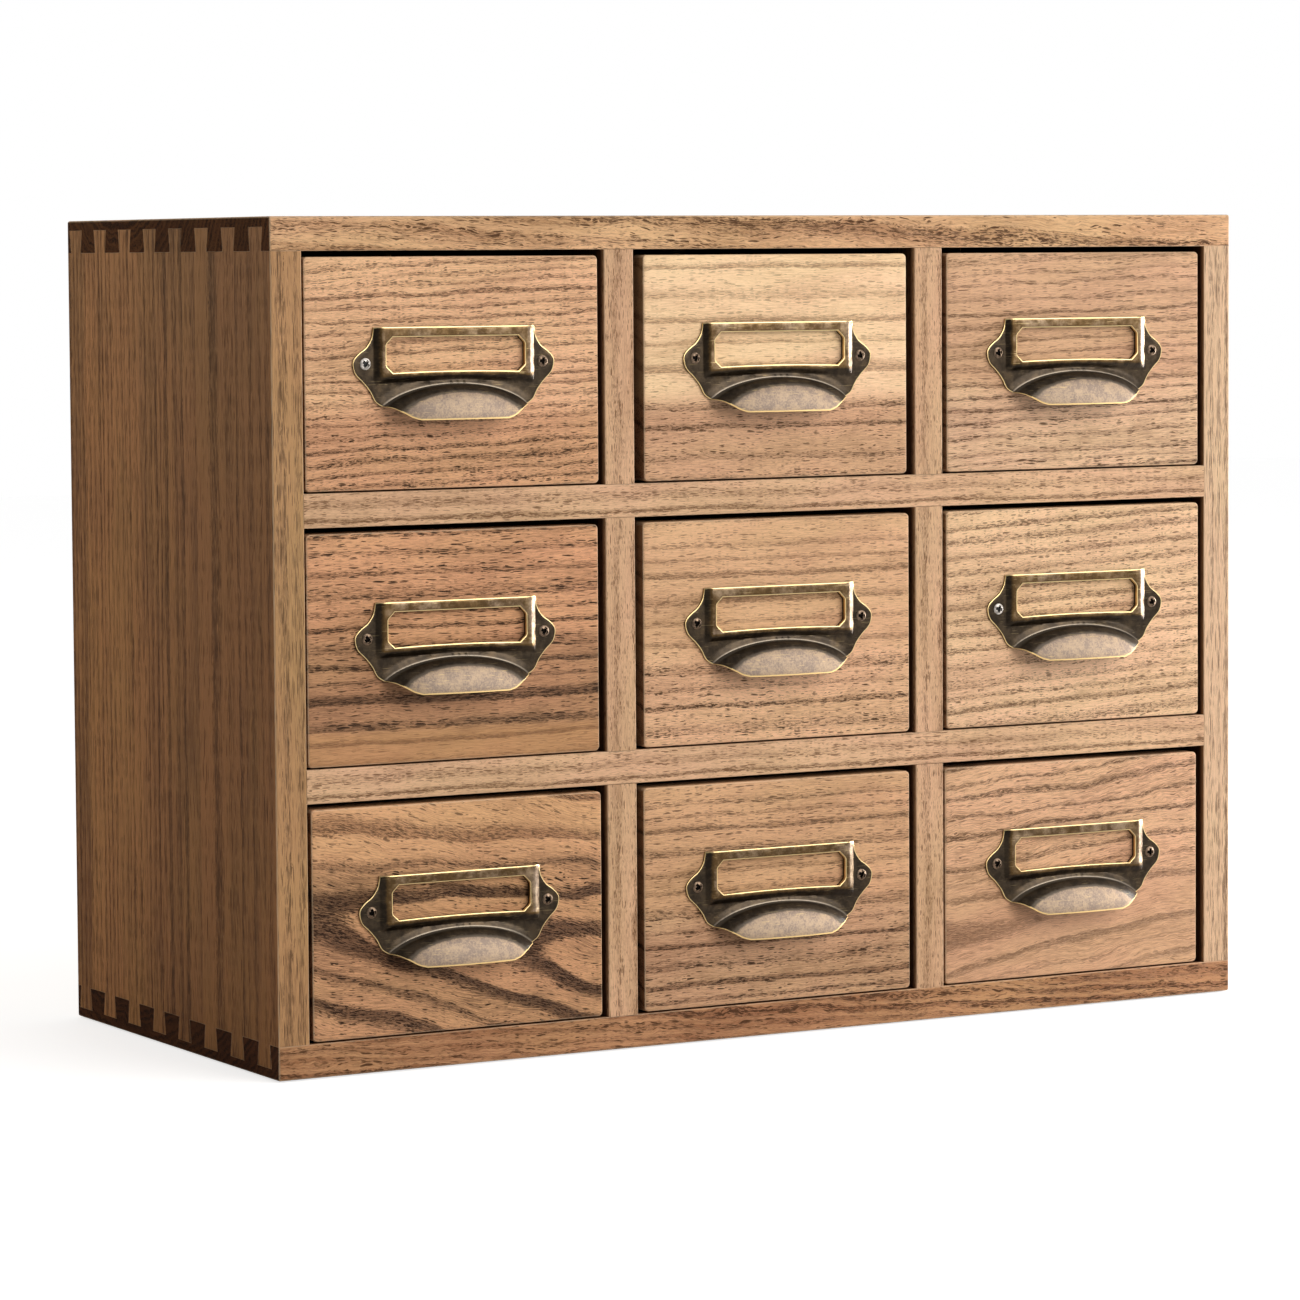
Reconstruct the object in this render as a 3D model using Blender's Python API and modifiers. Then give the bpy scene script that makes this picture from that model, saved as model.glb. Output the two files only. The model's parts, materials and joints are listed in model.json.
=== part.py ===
"""Card catalogue cabinet: a dovetailed case with nine inset drawers, each with a label-holder cup pull.

Metres, +Z up. The origin is the centre of the case's bottom face, the front faces -Y and +X is to the
right as seen from the front. Drawers are numbered along each row, from the top left.
"""

import math

import bmesh
import bpy
from mathutils import Matrix, Vector

# Case
CASE_WIDTH = 0.406
CASE_DEPTH = 0.178
CASE_HEIGHT = 0.300
BOARD = 0.012  # thickness of every case board, shelf and divider
COLUMNS = 3
ROWS = 3
CLEARANCE = 0.0003  # between pieces that touch

# Half-blind dovetails: tails on the side boards, pins on the top and bottom boards
TAILS = 8
TAIL_WIDTH = 0.0102  # at half height
PIN_WIDTH = 0.0124  # at half height
BACK_PIN_WIDTH = 0.0030  # the narrow pin at the case's back edge, at half height
DOVETAIL_LAP = 0.0036  # wood left over the tail ends
DOVETAIL_LEAN = 0.16  # each flank's sideways run for each unit of tail length

# Back panel, loose in a groove round the inside of the case
BACK_THICKNESS = 0.003
BACK_INSET = 0.005  # from the back edges to the panel
GROOVE_DEPTH = 0.004

# Drawers
FRONT_THICKNESS = 0.012
FRONT_TOP_GAP = 0.0021
FRONT_BOTTOM_GAP = 0.0006
FRONT_EDGE = 0.0008  # bevel that eases the front's edges
# Gap left and right of each hand-fitted front, by rows from the top left
FRONT_SIDE_GAPS = (
    (0.0007, 0.0026), (0.0040, 0.0036), (0.0020, 0.0028),
    (0.0006, 0.0031), (0.0032, 0.0028), (0.0016, 0.0026),
    (0.0014, 0.0026), (0.0028, 0.0029), (0.0007, 0.0035),
)
DRAWER_SIDE = 0.008  # thickness of the box's sides and back
DRAWER_SIDE_DROP = 0.006  # from the front's top edge to the sides' top edges
DRAWER_SIDE_INSET = 0.0004  # from the front's ends to the sides
DRAWER_BOTTOM = 0.003
DRAWER_BOTTOM_RAISE = 0.004  # from the sides' lower edges to the bottom panel
DRAWER_GROOVE = 0.003
DRAWER_BACK_GAP = 0.0005  # to the back panel, which stops the closed drawer

# Pull: u runs across it, v down from the top of its label frame, w out from the wood
PULL_TOP = 0.0246  # from the front's top edge to the label frame's
SHEET = 0.0008  # thickness of the pressed brass
FRAME_HALF_BASE = 0.0317
FRAME_HALF_FACE = 0.0294
FRAME_BOTTOM_BASE = 0.0196
FRAME_BOTTOM_FACE = 0.0179
FRAME_HEIGHT = 0.0026
WINDOW_HALF = 0.0278
WINDOW_TOP = 0.0034
WINDOW_BOTTOM = 0.0162
WINDOW_CHAMFER = 0.0026
EAR_U = 0.03495  # screw hole
EAR_V = 0.01265
EAR_RADIUS = 0.0047
SCREW_HOLE_RADIUS = 0.0018
# The plate's edge as (u, v): above the ear, round the ear (degrees from straight out) and below it
EDGE_ABOVE_EAR = ((FRAME_HALF_BASE, 0.0), (0.0324, 0.0038), (0.03475, 0.0072))
EAR_ARC = (-48, -20, 8, 36, 62)
EDGE_BELOW_EAR = ((0.0337, 0.0210), (0.0309, 0.0262), (0.0287, 0.0282))
CORNER_U = 0.0284  # lower corners of the plate
CORNER_V = 0.0277
TRIM_RISE = 0.001  # how far above those corners the trim to the cup's lip starts
LIP_HALF = 0.0190  # straight lower edge of the cup
LIP_V = 0.0324
CUP_CENTRE_V = 0.0330
CUP_U = 0.0311  # half axes of the cup's ellipsoid
CUP_V = 0.0131
CUP_W = 0.0103
CUP_SEGMENTS = 20
CUP_RINGS = 12

# Worked out from the driving sizes
INNER_HALF_WIDTH = CASE_WIDTH / 2 - BOARD
BAY_WIDTH = (2 * INNER_HALF_WIDTH - (COLUMNS - 1) * BOARD) / COLUMNS
BAY_HEIGHT = (CASE_HEIGHT - (ROWS + 1) * BOARD) / ROWS
FRONT_Y = -CASE_DEPTH / 2
BACK_Y = CASE_DEPTH / 2
PANEL_BACK_Y = BACK_Y - BACK_INSET
PANEL_FRONT_Y = PANEL_BACK_Y - BACK_THICKNESS
TAIL_LENGTH = BOARD - DOVETAIL_LAP
DRAWER_LENGTH = PANEL_FRONT_Y - FRONT_Y - DRAWER_BACK_GAP
FRONT_HEIGHT = BAY_HEIGHT - FRONT_TOP_GAP - FRONT_BOTTOM_GAP
PAST = 0.002  # how far a cutter runs past the wall it cuts


def clear_scene():
    for obj in list(bpy.data.objects):
        bpy.data.objects.remove(obj, do_unlink=True)


def new_collection(name):
    collection = bpy.data.collections.new(name)
    bpy.context.scene.collection.children.link(collection)
    return collection


def new_material(name, colour, roughness, metallic=0.0):
    material = bpy.data.materials.new(name)
    material.use_nodes = True
    shader = material.node_tree.nodes["Principled BSDF"]
    shader.inputs["Base Color"].default_value = (*colour, 1.0)
    shader.inputs["Roughness"].default_value = roughness
    shader.inputs["Metallic"].default_value = metallic
    return material


def add_object(name, mesh, collection, material=None, parent=None, location=(0, 0, 0)):
    obj = bpy.data.objects.new(name, mesh)
    collection.objects.link(obj)
    obj.parent = parent
    obj.location = location
    if material and material.name not in mesh.materials:
        mesh.materials.append(material)
    return obj


def add_block(bm, low, high):
    """A cube stretched from corner to corner."""
    low, high = Vector(low), Vector(high)
    centre, size = (low + high) / 2, high - low
    made = bmesh.ops.create_cube(bm, size=1.0)["verts"]
    for vert in made:
        vert.co = Vector(a * b for a, b in zip(vert.co, size)) + centre
    return made


def mesh_from(name, bm):
    bm.normal_update()
    bmesh.ops.recalc_face_normals(bm, faces=bm.faces)
    mesh = bpy.data.meshes.new(name)
    bm.to_mesh(mesh)
    bm.free()
    return mesh


def block_mesh(name, low, high):
    bm = bmesh.new()
    add_block(bm, low, high)
    return mesh_from(name, bm)


def add_cutter(name, mesh, parent=None):
    cutter = add_object(name, mesh, cutters, parent=parent)
    cutter.hide_render = True
    cutter.display_type = "WIRE"
    return cutter


def boolean(obj, other, operation="DIFFERENCE"):
    modifier = obj.modifiers.new(other.name, "BOOLEAN")
    modifier.operation = operation
    modifier.solver = "EXACT"
    modifier.object = other


def applied_mesh(obj, name):
    """The mesh that the object's modifiers make."""
    bpy.context.view_layer.update()
    graph = bpy.context.evaluated_depsgraph_get()
    mesh = bpy.data.meshes.new_from_object(obj.evaluated_get(graph))
    mesh.name = name
    return mesh


# ---------------------------------------------------------------- case


def tail_spans(height):
    """(low Y, high Y) of each tail, from the rearmost, at a height above the tails' roots."""
    half = TAIL_WIDTH / 2 + DOVETAIL_LEAN * (height - TAIL_LENGTH / 2)
    rearmost = BACK_Y - BACK_PIN_WIDTH - TAIL_WIDTH / 2
    middles = [rearmost - i * (TAIL_WIDTH + PIN_WIDTH) for i in range(TAILS)]
    return [(middle - half, middle + half) for middle in middles]


def pin_spans(height):
    """(low Y, high Y) of each pin: the spaces behind, between and in front of the tails."""
    tails = tail_spans(height)
    fronts = [high for _, high in tails] + [FRONT_Y - PAST]
    backs = [BACK_Y + PAST] + [low for low, _ in tails]
    return list(zip(fronts, backs))


def joint_cutter(name, spans_at, low_height, high_height, x_ranges, upward, grow=0.0):
    """Blocks that follow the tails or the pins of one joint. Heights run from the roots to the tips."""
    bm = bmesh.new()
    roots, tips = spans_at(low_height), spans_at(high_height)
    for low_x, high_x in x_ranges:
        for root, tip in zip(roots, tips):
            for vert in add_block(bm, (low_x, -1, low_height), (high_x, 1, high_height)):
                low_y, high_y = root if vert.co.z < (low_height + high_height) / 2 else tip
                vert.co.y = high_y + grow if vert.co.y > 0 else low_y - grow
                height = vert.co.z
                vert.co.z = CASE_HEIGHT - BOARD + height if upward else BOARD - height
    return add_cutter(name, mesh_from(name, bm))


def panel_groove():
    """Cutter for the back panel's groove, in all four outer boards."""
    reach = GROOVE_DEPTH + CLEARANCE
    low = (-INNER_HALF_WIDTH - reach, PANEL_FRONT_Y - CLEARANCE, BOARD - reach)
    high = (INNER_HALF_WIDTH + reach, PANEL_BACK_Y + CLEARANCE, CASE_HEIGHT - BOARD + reach)
    return add_cutter("back_panel_groove", block_mesh("back_panel_groove", low, high))


def add_side_board(name, side, groove):
    """A tail board: it stops under the laps, and its ends are cut away round the pins."""
    end = DOVETAIL_LAP + CLEARANCE
    xs = sorted((side * CASE_WIDTH / 2, side * INNER_HALF_WIDTH))
    mesh = block_mesh(name, (xs[0], FRONT_Y, end), (xs[1], BACK_Y, CASE_HEIGHT - end))
    board = add_object(name, mesh, parts, case_wood)
    through = [(xs[0] - PAST, xs[1] + PAST)]
    for end_name, upward in (("upper", True), ("lower", False)):
        cutter_name = f"{name}_{end_name}_pins"
        boolean(board, joint_cutter(cutter_name, pin_spans, -CLEARANCE, TAIL_LENGTH + PAST, through, upward))
    boolean(board, groove)


def add_level_board(name, low_z, upward, groove):
    """The top or the bottom board: a pin board as wide as the case, socketed for the tails at both ends."""
    low = (-CASE_WIDTH / 2, FRONT_Y, low_z)
    mesh = block_mesh(name, low, (CASE_WIDTH / 2, BACK_Y, low_z + BOARD))
    board = add_object(name, mesh, parts, case_wood)
    inner, outer = INNER_HALF_WIDTH - CLEARANCE, CASE_WIDTH / 2 + PAST
    ends = [(-outer, -inner), (inner, outer)]
    cutter_name = f"{name}_sockets"
    sockets = joint_cutter(cutter_name, tail_spans, -PAST, TAIL_LENGTH, ends, upward, CLEARANCE)
    boolean(board, sockets)
    boolean(board, groove)


def add_back_panel():
    reach = GROOVE_DEPTH
    low = (-INNER_HALF_WIDTH - reach, PANEL_FRONT_Y, BOARD - reach)
    high = (INNER_HALF_WIDTH + reach, PANEL_BACK_Y, CASE_HEIGHT - BOARD + reach)
    add_object("back_panel", block_mesh("back_panel", low, high), parts, plywood)


def add_partition_grid():
    """Two shelves and two dividers, halved over each other and glued into one grid."""
    half = INNER_HALF_WIDTH - CLEARANCE
    rear = PANEL_FRONT_Y - CLEARANCE
    foot, head = BOARD + CLEARANCE, CASE_HEIGHT - BOARD - CLEARANCE
    grid = None
    for row in range(1, ROWS):
        floor = row * (BAY_HEIGHT + BOARD)
        mesh = block_mesh(f"shelf_{row}", (-half, FRONT_Y, floor), (half, rear, floor + BOARD))
        if grid is None:
            grid = add_object("partition_grid", mesh, parts, case_wood)
            continue
        boolean(grid, add_cutter(f"shelf_{row}", mesh), "UNION")
    for column in range(1, COLUMNS):
        left = -INNER_HALF_WIDTH + column * (BAY_WIDTH + BOARD) - BOARD
        mesh = block_mesh(f"divider_{column}", (left, FRONT_Y, foot), (left + BOARD, rear, head))
        boolean(grid, add_cutter(f"divider_{column}", mesh), "UNION")


# ---------------------------------------------------------------- pull


def pull_point(u, v, w):
    """From the pull's own u, v, w to X, Y, Z about the top centre of its label frame, on the wood."""
    return Vector((u, -w, -v))


def plate_outline():
    """Right half of the plate's edge from the top down, as (u, v)."""
    turns = [math.radians(degrees) for degrees in EAR_ARC]
    ear = [(EAR_U + EAR_RADIUS * math.cos(turn), EAR_V + EAR_RADIUS * math.sin(turn)) for turn in turns]
    return [*EDGE_ABOVE_EAR, *ear, *EDGE_BELOW_EAR]


def prism(name, outline, w_low, w_high):
    """A flat outline of (u, v) points, filled as a 2D curve and extruded from w_low to w_high."""
    curve = bpy.data.curves.new(name, "CURVE")
    curve.dimensions = "2D"
    curve.fill_mode = "BOTH"
    curve.extrude = (w_high - w_low) / 2
    spline = curve.splines.new("POLY")
    spline.points.add(len(outline) - 1)
    for point, (u, v) in zip(spline.points, outline):
        point.co = (u, -v, 0, 1)
    spline.use_cyclic_u = True
    flat = add_object(name, curve, cutters)
    mesh = applied_mesh(flat, name)
    bpy.data.objects.remove(flat)
    bm = bmesh.new()
    bm.from_mesh(mesh)
    bmesh.ops.remove_doubles(bm, verts=bm.verts, dist=0.00001)
    # The curve lies in XY with +Z up: stand it so that +Z points out of the wood, along -Y
    bmesh.ops.transform(bm, matrix=Matrix.Rotation(math.radians(90), 4, "X"), verts=bm.verts)
    bmesh.ops.translate(bm, vec=(0, -(w_low + w_high) / 2, 0), verts=bm.verts)
    return mesh_from(name, bm)


def frustum(name, half_base, half_face, v_top, bottom_base, bottom_face, w_low, w_high):
    """The label frame's block: its sides and lower wall lean in towards the face."""
    bm = bmesh.new()
    for vert in bmesh.ops.create_cube(bm, size=1.0)["verts"]:
        on_face = vert.co.y < 0
        half = half_face if on_face else half_base
        bottom = bottom_face if on_face else bottom_base
        u = math.copysign(half, vert.co.x)
        v = v_top if vert.co.z > 0 else bottom
        vert.co = pull_point(u, v, w_high if on_face else w_low)
    return mesh_from(name, bm)


def ellipsoid(name, shrink):
    """The cup's surface as a whole ellipsoid, smaller all round by shrink."""
    bm = bmesh.new()
    bmesh.ops.create_uvsphere(bm, u_segments=CUP_SEGMENTS, v_segments=CUP_RINGS, radius=1.0)
    # The sphere's poles go to the left and right ends of the cup
    bmesh.ops.transform(bm, matrix=Matrix.Rotation(math.radians(90), 4, "Y"), verts=bm.verts)
    for vert in bm.verts:
        u, w, v = vert.co.x * (CUP_U - shrink), -vert.co.y * (CUP_W - shrink), -vert.co.z * (CUP_V - shrink)
        vert.co = pull_point(u, CUP_CENTRE_V + v, w)
    return mesh_from(name, bm)


def mirrored(half):
    """A closed outline from its right half, listed from top to bottom."""
    return half + [(-u, v) for u, v in reversed(half)]


def pull_mesh():
    """The pressed sheet: a plate with ears, a raised label frame open at its top, and the finger cup.

    Each solid starts at or behind the wood's face, and the trim cuts them all off just in front of it.
    """
    wood = CLEARANCE
    body = add_object("pull_body", prism("pull_plate", mirrored(plate_outline()), -PAST, wood + SHEET), cutters)
    frame_face = wood + FRAME_HEIGHT
    outer = frustum("pull_frame", FRAME_HALF_BASE, FRAME_HALF_FACE, 0.0,
                    FRAME_BOTTOM_BASE, FRAME_BOTTOM_FACE, 0.0, frame_face)
    boolean(body, add_cutter("pull_frame", outer), "UNION")
    boolean(body, add_cutter("pull_cup", ellipsoid("pull_cup", 0.0)), "UNION")
    beside = EAR_U + 2 * EAR_RADIUS
    half_trim = [(beside, -PAST), (beside, CORNER_V - TRIM_RISE), (CORNER_U, CORNER_V), (LIP_HALF, LIP_V)]
    trim = prism("pull_trim", mirrored(half_trim), wood, CUP_W + 2 * PAST)
    boolean(body, add_cutter("pull_trim", trim), "INTERSECT")
    inner = frustum("pull_pocket", FRAME_HALF_BASE - SHEET, FRAME_HALF_FACE - SHEET, -PAST,
                    FRAME_BOTTOM_BASE - SHEET, FRAME_BOTTOM_FACE - SHEET, -PAST, frame_face - SHEET)
    boolean(body, add_cutter("pull_pocket", inner))
    boolean(body, add_cutter("pull_hollow", ellipsoid("pull_hollow", SHEET)))
    half_window = [(WINDOW_HALF - WINDOW_CHAMFER, WINDOW_TOP), (WINDOW_HALF, WINDOW_TOP + WINDOW_CHAMFER),
                   (WINDOW_HALF, WINDOW_BOTTOM - WINDOW_CHAMFER), (WINDOW_HALF - WINDOW_CHAMFER, WINDOW_BOTTOM)]
    window = prism("pull_window", mirrored(half_window), 0.0, frame_face + PAST)
    boolean(body, add_cutter("pull_window", window))
    for side in (-1, 1):
        bm = bmesh.new()
        bmesh.ops.create_cone(bm, cap_ends=True, segments=12, radius1=SCREW_HOLE_RADIUS,
                              radius2=SCREW_HOLE_RADIUS, depth=4 * PAST)
        bmesh.ops.transform(bm, matrix=Matrix.Rotation(math.radians(90), 4, "X"), verts=bm.verts)
        bmesh.ops.translate(bm, vec=pull_point(side * EAR_U, EAR_V, 0), verts=bm.verts)
        name = f"pull_hole_{'left' if side < 0 else 'right'}"
        boolean(body, add_cutter(name, mesh_from(name, bm)))
    mesh = applied_mesh(body, "label_cup_pull")
    bpy.data.objects.remove(body)
    mesh.materials.clear()
    return mesh


# ---------------------------------------------------------------- drawers


def add_drawer(number, left_x, floor_z, gaps, pull):
    """Everything hangs on an empty on the slide's axis: the middle of the front's lower edge."""
    left = left_x + gaps[0]
    width = BAY_WIDTH - sum(gaps)
    half = width / 2
    slide = bpy.data.objects.new(f"drawer_{number}_slide", None)
    parts.objects.link(slide)
    slide.location = (left + half, FRONT_Y, floor_z + FRONT_BOTTOM_GAP)

    box_half = half - DRAWER_SIDE_INSET
    inner_half = box_half - DRAWER_SIDE
    box_front = FRONT_THICKNESS + CLEARANCE
    box_top = FRONT_HEIGHT - DRAWER_SIDE_DROP
    panel_low = DRAWER_BOTTOM_RAISE
    panel_high = panel_low + DRAWER_BOTTOM

    def piece(name, low, high, material):
        full_name = f"drawer_{number}_{name}"
        return add_object(full_name, block_mesh(full_name, low, high), parts, material, slide)

    front = piece("front", (-half, 0, 0), (half, FRONT_THICKNESS, FRONT_HEIGHT), front_wood)
    ease = front.modifiers.new("eased_edges", "BEVEL")
    ease.width = FRONT_EDGE
    ease.segments = 1
    left_side = piece("left_side", (-box_half, box_front, 0), (-inner_half, DRAWER_LENGTH, box_top), box_wood)
    right_side = piece("right_side", (inner_half, box_front, 0), (box_half, DRAWER_LENGTH, box_top), box_wood)
    between = inner_half - CLEARANCE
    back_low = (-between, DRAWER_LENGTH - DRAWER_SIDE, panel_high + CLEARANCE)
    piece("back", back_low, (between, DRAWER_LENGTH, box_top), box_wood)
    reach = inner_half + DRAWER_GROOVE - CLEARANCE
    panel_start = FRONT_THICKNESS - DRAWER_GROOVE + CLEARANCE
    piece("bottom", (-reach, panel_start, panel_low), (reach, DRAWER_LENGTH, panel_high), plywood)

    groove_low = (-inner_half - DRAWER_GROOVE, FRONT_THICKNESS - DRAWER_GROOVE, panel_low - CLEARANCE)
    groove_high = (inner_half + DRAWER_GROOVE, DRAWER_LENGTH + PAST, panel_high + CLEARANCE)
    name = f"drawer_{number}_groove"
    groove = add_cutter(name, block_mesh(name, groove_low, groove_high), slide)
    for board in (front, left_side, right_side):
        boolean(board, groove)
    add_object(f"drawer_{number}_pull", pull, parts, brass, slide, (0, 0, FRONT_HEIGHT - PULL_TOP))


clear_scene()
parts = new_collection("card_catalogue_cabinet")
cutters = new_collection("cutters")
case_wood = new_material("case_wood", (0.36, 0.22, 0.12), 0.55)
front_wood = new_material("front_wood", (0.50, 0.31, 0.18), 0.55)
box_wood = new_material("box_wood", (0.58, 0.42, 0.26), 0.65)
plywood = new_material("plywood", (0.55, 0.40, 0.24), 0.7)
brass = new_material("antique_brass", (0.35, 0.25, 0.12), 0.4, 1.0)

back_groove = panel_groove()
add_side_board("left_side", -1, back_groove)
add_side_board("right_side", 1, back_groove)
add_level_board("top_board", CASE_HEIGHT - BOARD, True, back_groove)
add_level_board("bottom_board", 0.0, False, back_groove)
add_back_panel()
add_partition_grid()

label_cup_pull = pull_mesh()
for index, side_gaps in enumerate(FRONT_SIDE_GAPS):
    row, column = divmod(index, COLUMNS)
    bay_left = -INNER_HALF_WIDTH + column * (BAY_WIDTH + BOARD)
    bay_floor = CASE_HEIGHT - (row + 1) * (BAY_HEIGHT + BOARD)
    add_drawer(index + 1, bay_left, bay_floor, side_gaps, label_cup_pull)
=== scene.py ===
"""Looks of the card catalog cabinet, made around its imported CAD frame.

Metres, in the row frame: +X to the right along the drawer fronts, +Y into the case, +Z up. Every mesh is
made in row coordinates and its object stays at the origin, so a material's Object coordinates are row
coordinates too, and they move with the piece.
"""

import json
import math

import bmesh
import bpy
import numpy as np
from mathutils import Matrix, Vector
from mathutils.geometry import delaunay_2d_cdt

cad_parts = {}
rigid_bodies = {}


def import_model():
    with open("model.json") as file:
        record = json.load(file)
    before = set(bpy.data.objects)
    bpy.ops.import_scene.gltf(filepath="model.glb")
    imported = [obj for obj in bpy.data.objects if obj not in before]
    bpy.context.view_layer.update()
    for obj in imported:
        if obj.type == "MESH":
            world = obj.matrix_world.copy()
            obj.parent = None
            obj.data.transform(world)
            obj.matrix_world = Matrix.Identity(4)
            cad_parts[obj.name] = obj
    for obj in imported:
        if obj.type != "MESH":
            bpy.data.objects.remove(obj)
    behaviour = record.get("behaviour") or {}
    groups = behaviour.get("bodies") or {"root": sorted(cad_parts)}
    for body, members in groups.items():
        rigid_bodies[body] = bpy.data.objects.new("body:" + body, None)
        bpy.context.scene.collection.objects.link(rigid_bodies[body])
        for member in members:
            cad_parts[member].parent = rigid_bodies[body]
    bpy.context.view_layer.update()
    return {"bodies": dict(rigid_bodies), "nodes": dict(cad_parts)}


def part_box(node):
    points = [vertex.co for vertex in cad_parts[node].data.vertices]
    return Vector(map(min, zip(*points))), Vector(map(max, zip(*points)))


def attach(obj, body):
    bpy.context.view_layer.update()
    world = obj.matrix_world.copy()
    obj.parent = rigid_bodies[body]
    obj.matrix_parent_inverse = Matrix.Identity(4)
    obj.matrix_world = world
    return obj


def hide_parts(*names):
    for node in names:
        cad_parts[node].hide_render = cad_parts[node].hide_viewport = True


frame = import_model()

MM = 0.001

# Camera: the fitted eye point and direction, in degrees, with the lens in millimetres on a 36 mm sensor.
CAMERA_POSITION = (-0.9283, -1.6358, 0.2842)
CAMERA_YAW, CAMERA_PITCH, CAMERA_ROLL = 29.487, -3.613, 0.375
CAMERA_LENS = 136.97
CAMERA_SHIFT_Y = -0.06

# The case, read from the frame.
LEFT, LEFT_INSIDE = (corner.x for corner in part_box("left_side"))
RIGHT_INSIDE, RIGHT = (corner.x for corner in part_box("right_side"))
FRONT, REAR = (corner.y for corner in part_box("top_board"))
BOTTOM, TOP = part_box("bottom_board")[0].z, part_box("top_board")[1].z
BOARD = LEFT_INSIDE - LEFT
PANEL_LOW, PANEL_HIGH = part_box("back_panel")
DRAWERS = sum(1 for body in frame["bodies"] if body.startswith("drawer_"))
COLUMNS = 3
ROWS = DRAWERS // COLUMNS
BAY_WIDTH = (RIGHT_INSIDE - LEFT_INSIDE - (COLUMNS - 1) * BOARD) / COLUMNS
BAY_HEIGHT = (TOP - BOTTOM - (ROWS + 1) * BOARD) / ROWS

# Corner joints of the case, as in the CAD, but closed up tight.
TAILS = 8
TAIL_WIDTH = 0.0102
PIN_WIDTH = 0.0124
BACK_PIN_WIDTH = 0.0030
TAIL_LEAN = 0.16
LAP = 0.0036
JOINT_GAP = 0.00003
EDGE = 0.0008
LONG_EDGE = EDGE * 0.55
JOINT_EDGE = 0.00014
LONG = 0.05
TOUCH = 1e-5
PANEL_GAP = 0.0001
CUT_PAST = 0.001

# Drawer fronts.
FRONT_CORNER = 0.0017
FRONT_ARRIS = 0.0008
BACK_CHAMFER = 0.0003
BOX_EDGE = 0.0005

# The pull, in millimetres on its own plane: u across from the middle, v down from the label frame's top,
# w out of the wood. Outlines are right halves, from the top down.
PULL_DROP = 24.6
SHEET = 0.8
SHEET_GAP = 0.03
PLATE_SIDE = [(31.7, 0.0), (32.4, 3.8), (34.5, 7.0), (37.2, 9.0), (39.1, 10.9), (39.7, 12.9),
              (38.7, 16.3), (35.7, 19.3), (33.1, 22.4), (31.1, 25.9), (28.4, 27.7)]
LIP_SIDE = [(28.4, 27.7), (26.0, 28.3), (23.0, 29.9), (20.2, 31.5), (17.2, 32.4)]
FRAME_BASE = (31.7, 19.6)
FRAME_FACE = (29.4, 17.9)
FRAME_ROUND = (3.6, 2.6)
FRAME_RISE = 1.4
FRAME_BOW = 0.7
WINDOW_HALF, WINDOW_TOP, WINDOW_BOTTOM = 27.4, 3.4, 16.2
WINDOW_CHAMFER = 2.6
CUP_HALF, CUP_LOW, CUP_TALL, CUP_RISE = 31.1, 33.0, 13.1, 10.3
CUP_PALE = (0.7, 0.88)
SHOULDER_RISE = 1.2
SHOULDER_REACH = 0.16
HOLE_U, HOLE_V, HOLE_RADIUS = 34.95, 12.65, 1.8
RIM = 0.5
RIM_DROP = 0.1
PULL_CELL = 0.85
# How deep the patina lies: on the plate, and less on the frame's face; on the right wall it is lessened, a
# painted highlight
PLATE_RECESS, FACE_WEAR, RIGHT_WALL_HIGHLIGHT_RECESS = 0.86, 0.5, 0.28
SCREW_HEAD = 2.05
SCREW_RISE = 0.75
SLOT_HALF, SLOT_ARM, SLOT_DEPTH = 1.5, 0.6, 0.8
SHANK_RADIUS, SHANK_LENGTH = 1.1, 9.0
SCREW_CELL = 0.5


# ---- meshes

def add_object(name, data):
    made = bpy.data.objects.new(name, data)
    bpy.context.scene.collection.objects.link(made)
    return made


def new_piece(name, mesh, material, body, slot, *nodes):
    """An object for one piece, riding on its body and standing for its CAD nodes."""
    piece = add_object(name, mesh)
    mesh.materials.clear()
    mesh.materials.append(material)
    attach(piece, body)
    if nodes:
        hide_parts(*nodes)
    return piece


def mesh_from(name, points, faces):
    """A mesh with its faces pointing out."""
    shape = bmesh.new()
    corners = [shape.verts.new(point) for point in points]
    for face in faces:
        shape.faces.new([corners[index] for index in face])
    shape.normal_update()
    bmesh.ops.recalc_face_normals(shape, faces=shape.faces)
    mesh = bpy.data.meshes.new(name)
    shape.to_mesh(mesh)
    shape.free()
    return mesh


def loft(name, rings):
    """A closed mesh through rings of equally many points, capped at both ends."""
    count = len(rings[0])
    points = [point for ring in rings for point in ring]
    faces = [list(range(count)), list(range(len(points) - count, len(points)))]
    for start in range(0, len(points) - count, count):
        for index in range(count):
            after = (index + 1) % count
            faces.append([start + index, start + after, start + count + after, start + count + index])
    return mesh_from(name, points, faces)


def prism(name, outline, axis, low, high):
    """The outline, in the two other axes in their own order, extruded along an axis from low to high."""
    def ring(level):
        return [Vector(point[:axis] + (level,) + point[axis:]) for point in outline]
    return loft(name, [ring(low), ring(high)])


def box_outline(low_a, high_a, low_b, high_b):
    return [(low_a, low_b), (high_a, low_b), (high_a, high_b), (low_a, high_b)]


def cut(mesh, *cutters):
    """The mesh less its cutters, by exact Boolean."""
    body = add_object("cut_body", mesh)
    tools = [add_object("cut_tool", cutter) for cutter in cutters]
    for tool in tools:
        step = body.modifiers.new("cut", "BOOLEAN")
        step.operation = "DIFFERENCE"
        step.object = tool
    bpy.context.view_layer.update()
    graph = bpy.context.evaluated_depsgraph_get()
    made = bpy.data.meshes.new_from_object(body.evaluated_get(graph), depsgraph=graph)
    made.name = mesh.name
    for item in [body, *tools]:
        bpy.data.objects.remove(item)
    return made


def smooth(mesh, degrees):
    mesh.shade_smooth()
    mesh.set_sharp_from_angle(angle=math.radians(degrees))


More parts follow.
